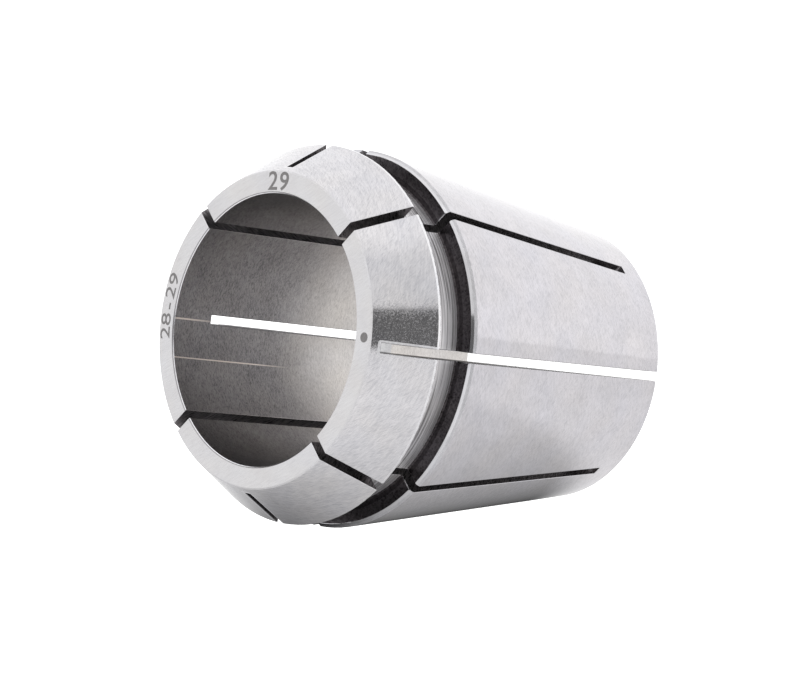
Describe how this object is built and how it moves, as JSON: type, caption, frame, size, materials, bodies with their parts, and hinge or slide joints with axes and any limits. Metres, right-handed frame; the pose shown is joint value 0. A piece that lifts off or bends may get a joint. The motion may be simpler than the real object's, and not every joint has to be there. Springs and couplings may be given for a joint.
{
  "type": "er collet",
  "caption": "Slotted spring steel collet with a long rear taper, a short steep front taper and a groove between them, which closes on a round tool shank.",
  "frame": {"origin": "on the axis, in the plane of the small rear end that the part stands on", "axes": "+Z along the axis from the small rear end to the front face; the slots that are open at the rear end lie in the XZ and YZ planes, those open at the front face halfway between"},
  "size_m": [0.041, 0.041, 0.046],
  "materials": {
    "steel": "hardened spring steel, finely ground to a satin"
  },
  "bodies": {
    "root": {"collet": "steel"}
  },
  "joints": []
}
